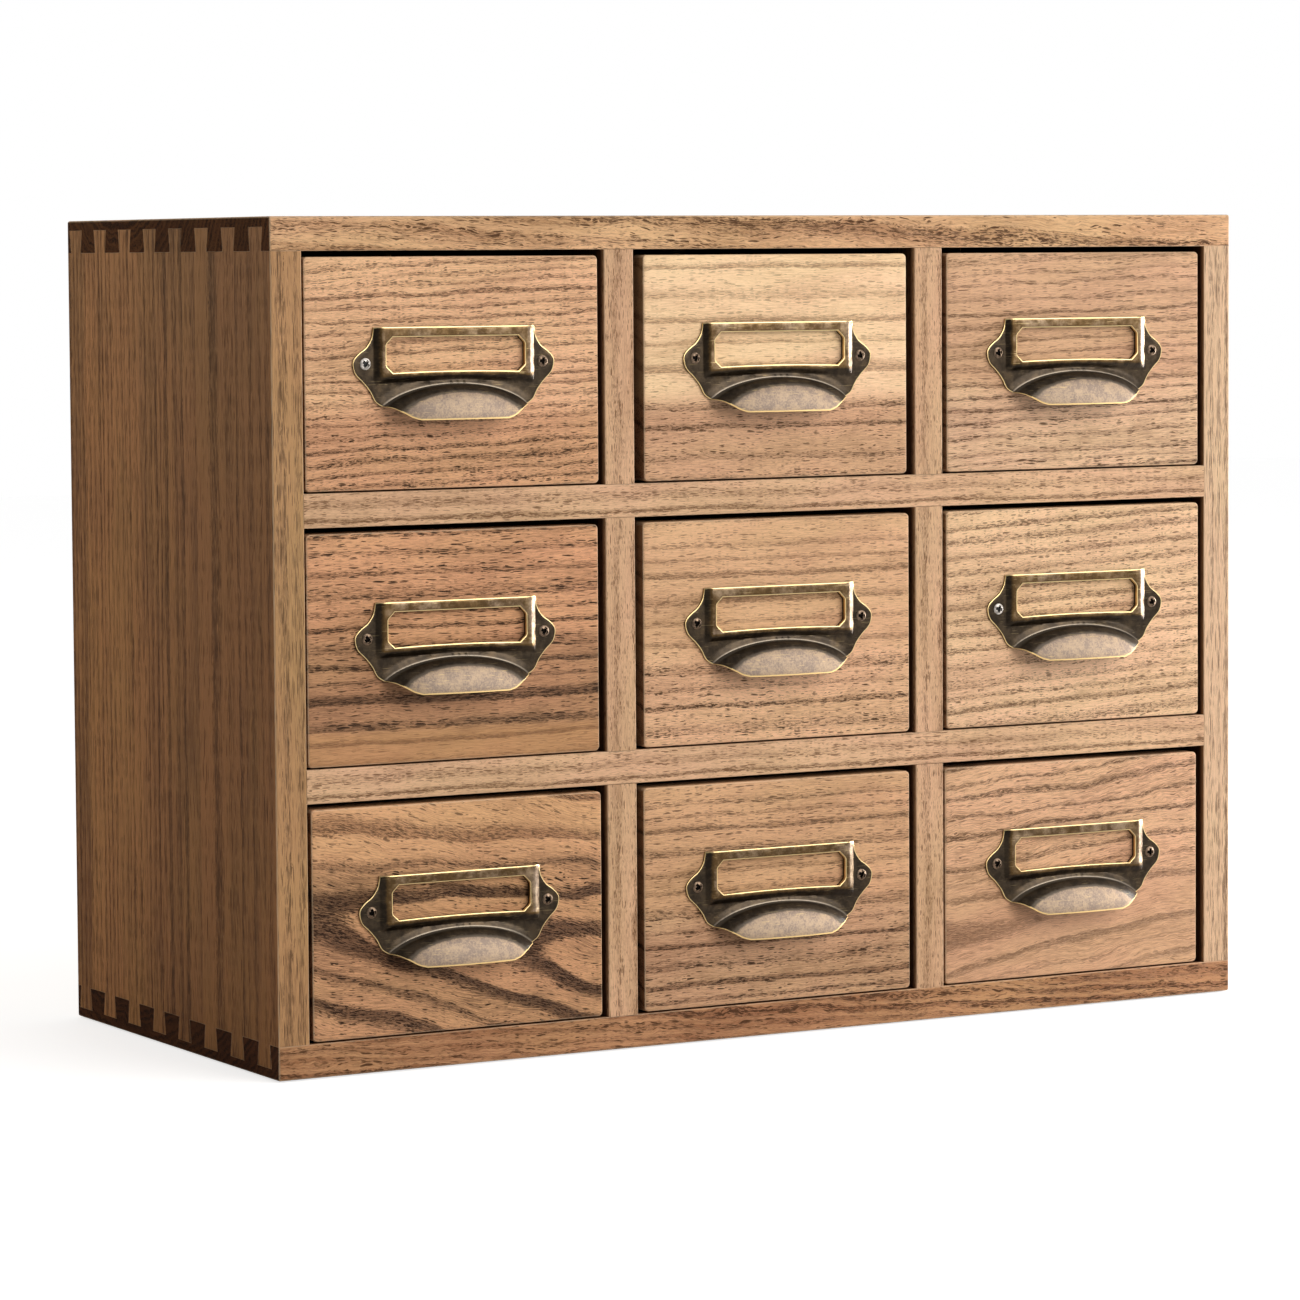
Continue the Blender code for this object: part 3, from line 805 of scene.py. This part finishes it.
def net(outline, holes, lines, cell):
    """Points and triangles over an outline less its holes, along the given lines and a cell apart."""
    points, edges = [], []
    for line, closed in [(outline, True), *((hole, True) for hole in holes), *lines]:
        first = len(points)
        points += line
        edges += [(first + i, first + i + 1) for i in range(len(line) - 1)]
        if closed:
            edges.append((len(points) - 1, first))
    bounds = np.array(outline)
    low, high = bounds.min(0), bounds.max(0)
    rows = np.arange(low[1] + cell / 2.0, high[1], cell * 0.87)
    grid = np.array([(u + (cell / 2.0 if row % 2 else 0.0), v) for row, v in enumerate(rows)
                     for u in np.arange(low[0], high[0], cell)])
    keep = inside(grid, outline)
    for hole in holes:
        keep &= ~inside(grid, hole)
    grid = grid[keep]
    fixed = np.array(points)
    far = np.array([np.min(np.sum((fixed - point) ** 2, axis=1)) for point in grid]) > (cell * 0.5) ** 2
    points += [tuple(point) for point in grid[far]]
    made = delaunay_2d_cdt([Vector(point) for point in points], edges, [], 0, 1e-5)
    places = np.array([tuple(place) for place in made[0]])
    faces = np.array([tuple(face) for face in made[2]])
    middles = places[faces].mean(axis=1)
    keep = inside(middles, outline)
    for hole in holes:
        keep &= ~inside(middles, hole)
    return places, faces[keep]


def open_edges(faces):
    """The edges that only one face has, in that face's direction."""
    directed = {(a, b) for face in faces for a, b in zip(face, np.roll(face, -1))}
    return [(a, b) for a, b in directed if (b, a) not in directed]


def sheet_faces(faces, count):
    """The faces of a sheet: its outer face, the same one below it, and a rim round every open edge."""
    made = [list(face) for face in faces]
    made += [[count + index for index in reversed(list(face))] for face in faces]
    return made + [[b, a, count + a, count + b] for a, b in open_edges(faces)]


def set_attribute(mesh, name, values):
    layer = mesh.attributes.new(name, "FLOAT", "POINT")
    layer.data.foreach_set("value", np.asarray(values, np.float32))


def pull_lines(outline):
    """The lines that the pull's net follows: round the window, down the frame's walls, over the cup and
    inside the outline."""
    lines = [(window_outline(RIM), True)]
    face_half, face_bottom = FRAME_FACE
    base_half, base_bottom = FRAME_BASE
    for half, bottom in (FRAME_FACE, ((face_half + base_half) / 2.0, (face_bottom + base_bottom) / 2.0),
                         (base_half - 0.35, base_bottom - 0.25), FRAME_BASE):
        across = [(half * step / 24.0, bottom - bow(half * step / 24.0)) for step in range(24, -25, -1)]
        down = [(half, bottom * step / 12.0) for step in range(1, 12)]
        lines.append((down + across + mirrored(down), False))
    for degrees in (0.0, 3.0, 8.0, 15.0, 24.0, 35.0, 48.0):
        size = math.cos(math.radians(degrees))
        arc = [(CUP_HALF * size * math.sin(angle), CUP_LOW - CUP_TALL * size * math.cos(angle))
               for angle in np.linspace(-math.radians(86), math.radians(86), 73)]
        lines.append(([point for point in arc if inside(np.array([point]), outline)[0]], False))
    inner = np.array(outline)
    run = np.roll(inner, -1, axis=0) - np.roll(inner, 1, axis=0)
    normal = np.stack([-run[:, 1], run[:, 0]], axis=1)
    inner = inner + RIM * normal / np.linalg.norm(run, axis=1)[:, None]
    return lines + [([tuple(point) for point in inner], True)]


def patina_and_painted_light(u, v):
    """How deep in patina the pull's outer face is, from 0 where it is rubbed to 1; it is lessened on the
    frame's right wall as a painted highlight, deepened on the frame's lower bar as painted shade, and in
    the cup it is darker towards the foot.
    """
    raised = frame_share(u, v)
    recess = PLATE_RECESS - FACE_WEAR * soft_step(raised * 2.2 - 1.15)
    # Painted shade: the patina is deepened on the frame's lower bar, which faces down.
    lower_bar_shade = soft_step((v + bow(u) - WINDOW_BOTTOM - 0.3) / 1.4)
    recess = np.maximum(recess, PLATE_RECESS * lower_bar_shade)
    # Painted highlight: the patina is lessened on the frame's right wall, where it mirrors the light beside
    # the front.
    wall = soft_step((u - FRAME_BASE[0] + FRAME_ROUND[0]) / 0.8) * soft_step(raised / 0.15) * (1.0 - lower_bar_shade)
    recess = recess + (RIGHT_WALL_HIGHLIGHT_RECESS - recess) * wall
    foot = np.sqrt(cup_square(u, v))
    # In the cup, darker towards its foot.
    pale, dark = CUP_PALE
    return np.where(foot < 1.0, 0.95 * soft_step((foot - pale) / (dark - pale)), recess)


def pull_pattern():
    """The pressed sheet of every pull, once: its places (u, v, w), faces, and the attributes rim, recess,
    the patina's depth with a painted highlight and painted shade in it, and foot, the distance from the
    cup's middle, which is 1 along its foot."""
    outline, window = plate_outline(), window_outline()
    holes = [window, circle(HOLE_U, HOLE_V, HOLE_RADIUS), circle(-HOLE_U, HOLE_V, HOLE_RADIUS)]
    places, faces = net(outline, holes, pull_lines(outline), PULL_CELL)
    u, v = places.T
    edge = np.minimum(nearest(places, outline), nearest(places, window))
    rim = np.clip(1.0 - edge / np.where(v > CUP_LOW - 4.0, RIM * 1.8, RIM), 0.0, 1.0)
    w = pull_height(u, v) - RIM_DROP * rim
    below = np.where(nearest(places, window) < 0.01, SHEET_GAP, np.maximum(w - SHEET, SHEET_GAP))
    none = np.zeros(len(places))
    points = np.concatenate([np.stack([u, v, w], 1), np.stack([u, v, below], 1)])
    return (points, sheet_faces(faces, len(places)),
            {"rim": np.concatenate([rim, none]), "recess": np.concatenate([patina_and_painted_light(u, v), none + 1.0]),
             "foot": np.concatenate([np.sqrt(cup_square(u, v)), none])})


def screw_pattern():
    """A cross-recess screw with its shank: places (u, v, w) about its own axis, faces and attributes."""
    corner = [(SLOT_ARM, SLOT_HALF), (SLOT_ARM, SLOT_ARM), (SLOT_HALF, SLOT_ARM)]
    cross = []
    for quarter in range(4):
        cosine, sine = round(math.cos(quarter * math.pi / 2)), round(math.sin(quarter * math.pi / 2))
        cross += [(u * cosine + v * sine, -u * sine + v * cosine) for u, v in corner]
    floor = [(u * 0.8, v * 0.8) for u, v in cross]
    rim = circle(0.0, 0.0, SCREW_HEAD, 32)
    lines = [(cross, True), (floor, True), (circle(0, 0, 1.6, 28), True)]
    places, faces = net(rim, [], lines, SCREW_CELL)
    reach = np.linalg.norm(places, axis=1) / SCREW_HEAD
    plate = SHEET + SHEET_GAP
    w = plate + SCREW_RISE * np.sqrt(np.clip(1.04 - reach ** 2, 0.0, 1.0))
    sunk = inside(places, [(u * 0.9, v * 0.9) for u, v in cross])
    w = np.where(sunk, w - SLOT_DEPTH, w)
    border = dict(open_edges(faces))
    loop = [next(iter(border))]
    while border[loop[-1]] != loop[0]:
        loop.append(border[loop[-1]])
    points = [tuple(point) for point in np.column_stack([places, w])]
    made = [list(face) for face in faces]
    shank = SHANK_RADIUS / SCREW_HEAD
    last = loop
    for size, level in ((1.0, plate), (shank, plate), (shank, 2.0 - SHANK_LENGTH), (0.08, -SHANK_LENGTH)):
        ring = range(len(points), len(points) + len(loop))
        points += [(places[index][0] * size, places[index][1] * size, level) for index in loop]
        for i in range(len(loop)):
            j = (i + 1) % len(loop)
            made.append([last[j], last[i], ring[i], ring[j]])
        last = ring
    made.append(list(reversed(last)))
    # The recess attribute marks the cross, which the screw's material paints nearly black as painted shade.
    return np.array(points), made, {"recess": np.concatenate([sunk, np.zeros(len(points) - len(sunk))])}


def on_front(points, number, middle, turn):
    """(u, v, w) places about a point and turn on a drawer's pull, in the row frame."""
    low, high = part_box(f"drawer_{number}_front")
    x, y, z = (low.x + high.x) / 2.0, low.y, high.z - PULL_DROP * MM
    cosine, sine = math.cos(turn), math.sin(turn)
    u = points[:, 0] * cosine - points[:, 1] * sine + middle[0]
    v = points[:, 0] * sine + points[:, 1] * cosine + middle[1]
    return np.stack([x + u * MM, y - points[:, 2] * MM, z - v * MM], axis=1)


def add_metal(name, number, pattern, material, degrees, middle, turn, *nodes):
    """A pull or a screw on a drawer's front, with its pattern's attributes."""
    points, faces, attributes = pattern
    mesh = mesh_from(name, [Vector(place) for place in on_front(points, number, middle, turn)], faces)
    for key, values in attributes.items():
        set_attribute(mesh, key, values)
    smooth(mesh, degrees)
    new_piece(name, mesh, material, f"drawer_{number}", "antique_brass", *nodes)


# ---- the woods of this cabinet

# The screws whose plating is still bright: the drawer, and -1 for its left one
BRIGHT_SCREWS = ((1, -1), (6, -1))
# Each drawer front as the photo shows it: its tones, its pores and how its rings lie
FRONT_WOOD = {
    1: dict(light=(244, 195, 154), dark=(193, 147, 112), pore=(66, 43, 24), bold=0.79,
            zones=[(-14, 6, (226, 173, 132), (178, 132, 96), 1)], spacing=3.8, band=0.42, tilt=0.03,
            wave=1.5, pith=(-150, 60), waver=1.4, dash=(3.4, 0.4)),
    2: dict(light=(254, 218, 177), dark=(217, 178, 140), pore=(84, 56, 32), bold=0.46,
            zones=[(-12, 6, (219, 174, 137), (175, 135, 102), 1)], spacing=9, band=0.26,
            pith=(-120, 50), waver=1, dash=(4, 0.43)),
    3: dict(light=(220, 175, 140), dark=(177, 138, 106), pore=(88, 60, 36), bold=0.73,
            zones=[(-10, 6, (229, 190, 154), (176, 139, 109), 1)], spacing=5, band=0.34, tilt=0.03,
            pith=(-160, 30), waver=2, dash=(5, 0.43)),
    4: dict(light=(226, 169, 128), dark=(166, 119, 85), pore=(62, 41, 24), bold=1,
            zones=[(2, 6, (196, 147, 108), (125, 90, 62), 1),
                   (-29, 2, (200, 151, 106), (162, 117, 79), 0.32)],
            spacing=6.5, band=0.36, pith=(-110, 20), waver=1.6, waver_size=(80, 10),
            dash=(5, 0.5)),
    5: dict(light=(230, 184, 144), dark=(186, 144, 108), pore=(74, 50, 28), bold=0.59,
            zones=[(-8, 6, (236, 190, 151), (185, 144, 109), 1)], spacing=7, band=0.3,
            pith=(-140, 60), waver=0.8, dash=(3.7, 0.43)),
    6: dict(light=(240, 200, 161), dark=(195, 156, 122), pore=(90, 62, 36), bold=0.78,
            zones=[(-8, 6, (241, 200, 162), (192, 155, 120), 0.82)], spacing=5.4, band=0.42,
            tilt=0.045, pith=(-150, 60), waver=0.7, dash=(3.1, 0.5)),
    7: dict(light=(228, 177, 132), dark=(179, 132, 94), pore=(50, 30, 15), bold=0.7,
            zones=[(20, 6, (214, 163, 120), (115, 82, 57), 1)], spacing=10, band=0.36, tilt=-0.2,
            pith=(-8, 16), taper=-0.11, waver=5, waver_size=(40, 18), dash=(3.6, 0.46),
            streak=1, ring_tone=1, crowd=1),
    8: dict(light=(221, 174, 134), dark=(175, 134, 98), pore=(64, 42, 24), bold=0.73,
            zones=[(-6, 6, (209, 166, 129), (149, 110, 80), 1)], spacing=6.5, band=0.34,
            pith=(-130, 40), waver=1.2, dash=(4.3, 0.48)),
    9: dict(light=(229, 181, 145), dark=(169, 130, 98), pore=(76, 50, 30), bold=0.75,
            zones=[(-4, 6, (218, 172, 136), (173, 133, 101), 0.42)], spacing=7, band=0.28, tilt=0.1,
            sparse=0.12, uneven=2, streak=1, fibre=0.5, pith=(-18, 10), taper=0.03, ripple=0.8,
            waver=4.5, waver_size=(48, 20), dash=(4.2, 0.4)),
}


def build_case():
    """The case's pieces. Returns the plywood, which the drawers' bottoms share."""
    middle = (REAR + FRONT) / 2.0
    # The side boards' tones are darker than their front edges' in part as painted shade, and the front tint
    # lifts the front edges to the lit tone; the left side's zone makes it darker towards its front and
    # lighter towards its back, a painted sheen.
    left = dict(light=(202, 143, 87), dark=(146, 97, 53), pore=(66, 38, 18), spacing=3.4, band=0.45,
                zones=[(0.0, 75.0, (171, 118, 69), (122, 79, 42), 0.75)],
                pith=(-30.0, 60.0), waver=1.4, waver_size=(90.0, 9.0), wave_size=(40.0, 5.0),
                ripple_size=(14.0, 1.6), dash=(11.0, 0.4), bold=0.75, ring_tone=0.4,
                staves=(50.0, -26.0), end=(0.6, 0.55, 0.5), lit_front_tint=(1.21, 1.55, 2.1), inside=True)
    right = {**left, "light": (176, 134, 94), "dark": (126, 90, 58), "zones": (), "fibre": 0.4,
             "lit_front_tint": (1.6, 1.99, 2.65)}
    side_board("left_side", LEFT, LEFT_INSIDE, wood("left_side_wood", "Z", (LEFT, middle, TOP / 2), **left))
    side_board("right_side", RIGHT_INSIDE, RIGHT,
               wood("right_side_wood", "Z", (RIGHT, middle, TOP / 2), **right))
    top = dict(light=(228, 184, 140), dark=(178, 134, 95), pore=(78, 48, 24), spacing=3.0, band=0.6,
               pith=(20.0, 40.0), tilt=-0.05, waver=2.4, waver_size=(50.0, 8.0), wave=1.4, ripple=0.8,
               dash=(5.0, 0.5), bold=0.95, fibre=0.22, end=(0.19, 0.115, 0.06), inside=True)
    bottom = {**top, "light": (195, 146, 105), "dark": (150, 102, 68)}
    level_board("top_board", TOP - BOARD, TOP, wood("top_wood", "X", (0.21, middle, TOP), **top))
    level_board("bottom_board", BOTTOM, BOTTOM + BOARD,
                wood("bottom_wood", "X", (0.05, middle, 0.1), **bottom))
    inner = dict(light=(226, 184, 148), dark=(182, 144, 110), pore=(104, 68, 38), spacing=2.6, waver=0.8,
                 dash=(4.0, 0.4), bold=0.8, fibre=0.18, inside=True)
    for row in range(1, ROWS):
        name, low = f"shelf_{ROWS - row}", BOTTOM + BOARD + row * BAY_HEIGHT + (row - 1) * BOARD
        grid_board(name, 2, low, LEFT_INSIDE, RIGHT_INSIDE, COLUMNS, BAY_WIDTH,
                   wood(name + "_wood", "X", (0.1 * row, 0.0, low), **inner))
    inner.update(light=(220, 179, 143), dark=(180, 141, 107))
    for column in range(1, COLUMNS):
        name, low = f"divider_{column}", LEFT_INSIDE + column * BAY_WIDTH + (column - 1) * BOARD
        grid_board(name, 0, low, BOTTOM + BOARD, TOP - BOARD, ROWS, BAY_HEIGHT,
                   wood(name + "_wood", "Z", (low, FRONT, 0.1 * column), **inner))
    plywood = wood("plywood", "X", (0.0, REAR, 0.15), light=(222, 190, 152), dark=(200, 166, 128),
                   pore=(164, 128, 92), spacing=14.0, pith=(-20.0, 60.0), waver=5.0,
                   waver_size=(120.0, 40.0), dash=(9.0, 0.5), bold=0.35, end=(0.7, 0.66, 0.6))
    eased_copy("back_panel", plywood, "case", "plywood")
    return plywood


def build_drawers(plywood):
    metal = brass()
    dark_screw = screw_metal("screw_bronze", (158, 134, 112), 0.34)
    bright_screw = screw_metal("screw_bright", (248, 238, 228), 0.3, 0.45)
    box_wood = {
        grain: wood(f"drawer_box_{grain}", grain, (0.0, 0.0, 0.15), light=(216, 182, 146),
                    dark=(192, 156, 118), pore=(142, 106, 72), spacing=5.0, pith=(-70.0, 40.0), waver=1.2,
                    dash=(7.0, 0.5), bold=0.4, end=(0.75, 0.7, 0.65))
        for grain in "XY"
    }
    pull, screw = pull_pattern(), screw_pattern()
    for number in range(1, DRAWERS + 1):
        name = f"drawer_{number}"
        low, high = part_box(name + "_front")
        centre = ((low.x + high.x) / 2.0, low.y, (low.z + high.z) / 2.0)
        drawer_front(number, wood(f"front_{number}_wood", "X", centre, **FRONT_WOOD[number]))
        for part, grain in (("left_side", "Y"), ("right_side", "Y"), ("back", "X")):
            eased_copy(f"{name}_{part}", box_wood[grain], name, "drawer_box_wood")
        eased_copy(name + "_bottom", plywood, name, "plywood")
        add_metal(name + "_cup_pull", number, pull, metal, 38.0, (0.0, 0.0), 0.0, name + "_pull")
        for side, word in ((-1, "left"), (1, "right")):
            shine = bright_screw if (number, side) in BRIGHT_SCREWS else dark_screw
            turn = math.radians((number * 67 + side * 29) % 90)
            add_metal(f"{name}_screw_{word}", number, screw, shine, 40.0, (side * HOLE_U, HOLE_V), turn)


# ---- camera, light and floor

CENTRE = (0.0, FRONT, TOP / 2.0)
WHITE = (1.0, 1.0, 1.0, 1.0)
ROOM_BRIGHT_SIDE = (0.82, 0.05, 0.57)
FLOOR_HALF = 4.0
FLOOR_GAP = 0.0005


def build_camera():
    yaw, pitch, roll = (math.radians(x) for x in (CAMERA_YAW, CAMERA_PITCH, CAMERA_ROLL))
    ahead = Vector((math.sin(yaw) * math.cos(pitch), math.cos(yaw) * math.cos(pitch), math.sin(pitch)))
    across = Vector((math.cos(yaw), -math.sin(yaw), 0.0))
    down = ahead.cross(across)
    across, down = (across * math.cos(roll) + down * math.sin(roll),
                    down * math.cos(roll) - across * math.sin(roll))
    camera = add_object("camera", bpy.data.cameras.new("camera"))
    camera.data.lens = CAMERA_LENS
    camera.data.shift_y = CAMERA_SHIFT_Y
    camera.matrix_world = Matrix.Translation(CAMERA_POSITION) @ Matrix(
        (across, -down, -ahead)).transposed().to_4x4()
    bpy.context.scene.camera = camera


def add_light(name, place, target, size, power, colour):
    light = add_object(name, bpy.data.lights.new(name, "AREA"))
    light.data.shape = "RECTANGLE"
    light.data.size, light.data.size_y = size
    light.data.energy = power
    light.data.color = colour
    light.location = place
    light.rotation_mode = "QUATERNION"
    light.rotation_quaternion = (Vector(target) - Vector(place)).to_track_quat("-Z", "Y")


def build_world():
    """A white room where the camera looks, and soft light from the right that dims to the left."""
    world = bpy.data.worlds.new("studio")
    bpy.context.scene.world = world
    world.use_nodes = True
    world.node_tree.nodes.clear()
    s = Nodes(world.node_tree)
    toward = s.vector("DOT_PRODUCT", s.place("Generated"), Vector(ROOM_BRIGHT_SIDE).normalized())
    light = s.step(toward, -0.85, 0.9, 0.05, 0.55)
    room = s.node("ShaderNodeBackground", {"Color": WHITE, "Strength": light})
    seen = s.node("ShaderNodeBackground", {"Color": WHITE, "Strength": 1.0})
    both = s.node("ShaderNodeMixShader", {0: s.camera_ray(), 1: room.outputs[0], 2: seen.outputs[0]})
    s.node("ShaderNodeOutputWorld", {"Surface": both.outputs[0]})


def build_floor():
    mesh = mesh_from("floor", [Vector((x, y, BOTTOM - FLOOR_GAP)) for x, y in
                               box_outline(-FLOOR_HALF, FLOOR_HALF, -FLOOR_HALF, FLOOR_HALF)],
                     [(0, 1, 2, 3)])
    floor = add_object("floor", mesh)
    s = Shader("floor_paint")
    grain = s.noise(s.place(), 30.0, 3.0)
    s.set(Base_Color=s.mix(grain, (0.6, 0.6, 0.6, 1.0), (0.64, 0.64, 0.64, 1.0)), Roughness=0.7,
          Emission_Color=WHITE, Emission_Strength=s.times(s.camera_ray(), 0.7))
    mesh.materials.append(s.material)


build_camera()
build_world()
build_floor()
add_light("key", (1.0, -2.0, 1.25), CENTRE, (2.0, 2.0), 42.0, (1.0, 0.985, 0.96))
# Low beside the front, where the pulls' right walls mirror it
add_light("right_panel", (0.75, -0.17, 0.17), CENTRE, (0.2, 0.34), 3.3, (1.0, 1.0, 1.0))
add_light("left_fill", (-0.62, 0.6, 0.4), (LEFT, 0.0, TOP / 2.0), (0.4, 0.4), 1.0, (1.0, 0.82, 0.55))
bpy.context.scene.view_settings.view_transform = "Standard"
build_drawers(build_case())
